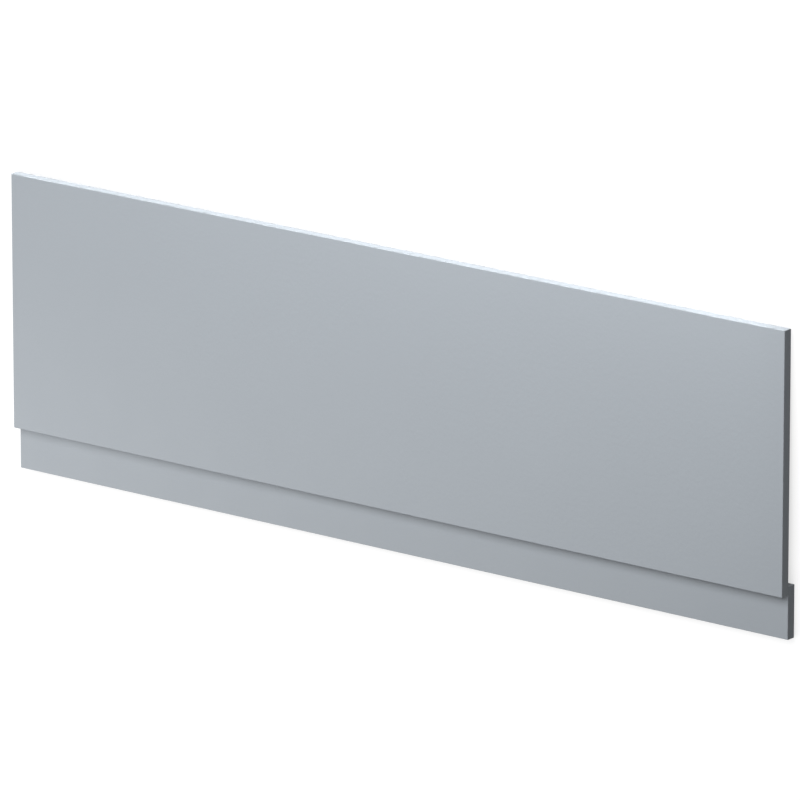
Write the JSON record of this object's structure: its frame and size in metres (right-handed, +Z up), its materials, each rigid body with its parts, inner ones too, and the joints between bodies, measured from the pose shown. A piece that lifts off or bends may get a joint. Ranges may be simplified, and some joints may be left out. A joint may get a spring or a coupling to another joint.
{
  "type": "bath panel",
  "caption": "Flat lacquered board that closes the side of a bath, with a plinth board lapped behind its lower edge as a toe recess.",
  "frame": {"origin": "middle of the part's footprint, on the floor that it lies on, front face up", "axes": "+X along the length of the boards, +Y from the plinth's foot towards the panel's top edge, +Z up, out of the front face"},
  "size_m": [1.7, 0.551, 0.0366],
  "materials": {
    "grey_lacquer": "satin",
    "zinc_screws": "satin"
  },
  "bodies": {
    "root": {"front_panel": "grey_lacquer", "plinth": "grey_lacquer"}
  },
  "joints": []
}
